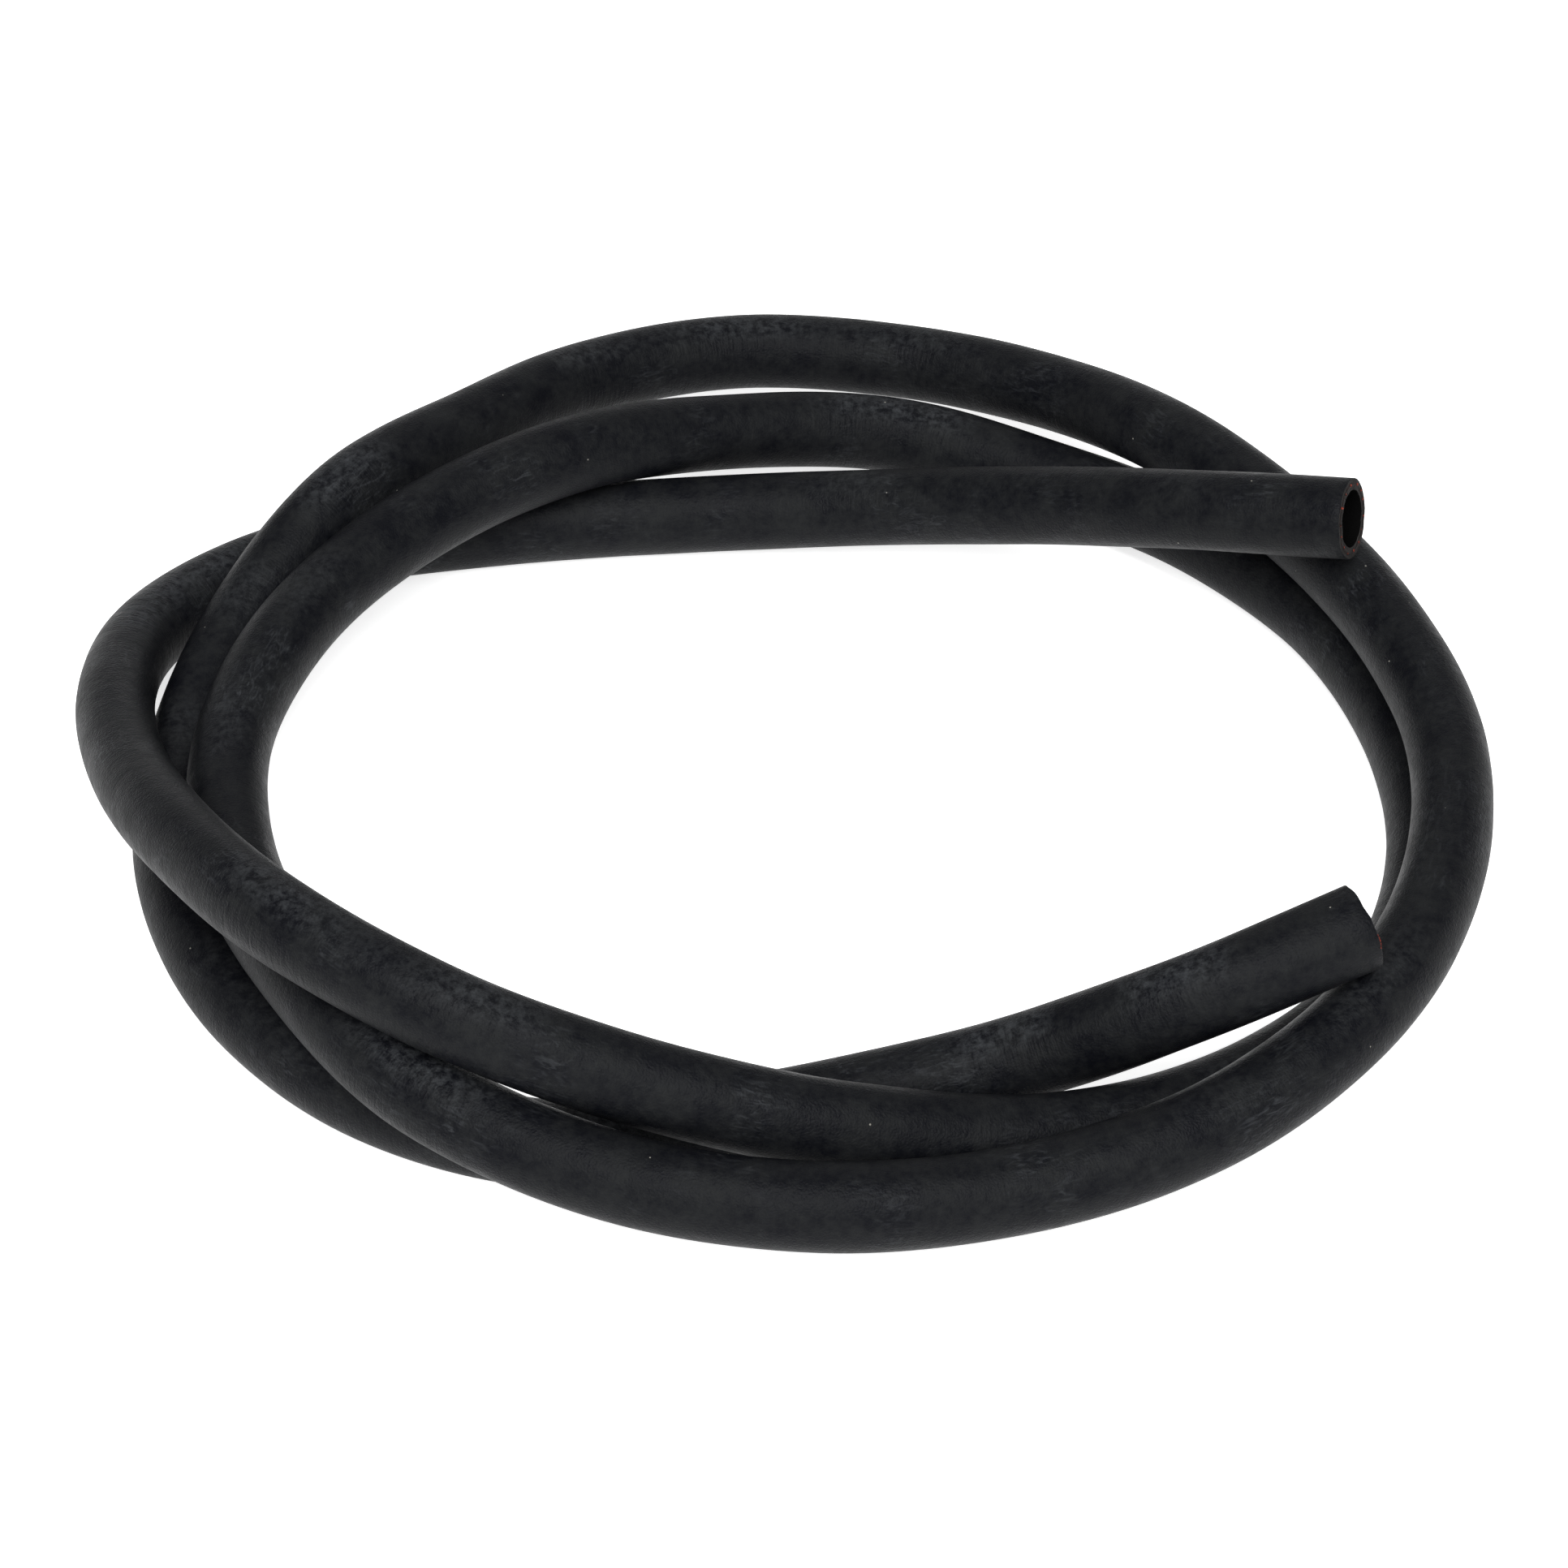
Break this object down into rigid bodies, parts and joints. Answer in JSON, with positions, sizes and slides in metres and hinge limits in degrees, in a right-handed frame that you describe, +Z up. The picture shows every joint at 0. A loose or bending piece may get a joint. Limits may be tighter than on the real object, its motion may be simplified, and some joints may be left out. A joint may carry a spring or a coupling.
{
  "type": "coolant hose",
  "caption": "Length of plain black rubber coolant hose, both ends cut square, lying in a loose coil.",
  "frame": {"origin": "on the floor under the middle of the coil", "axes": "+Z up; the picture looks along +Y from the front, and both cut ends point to +X"},
  "size_m": [0.3898, 0.397, 0.0748],
  "materials": {
    "rubber": "matte black moulded rubber, dusty"
  },
  "bodies": {
    "root": {"hose": "rubber"}
  },
  "joints": []
}
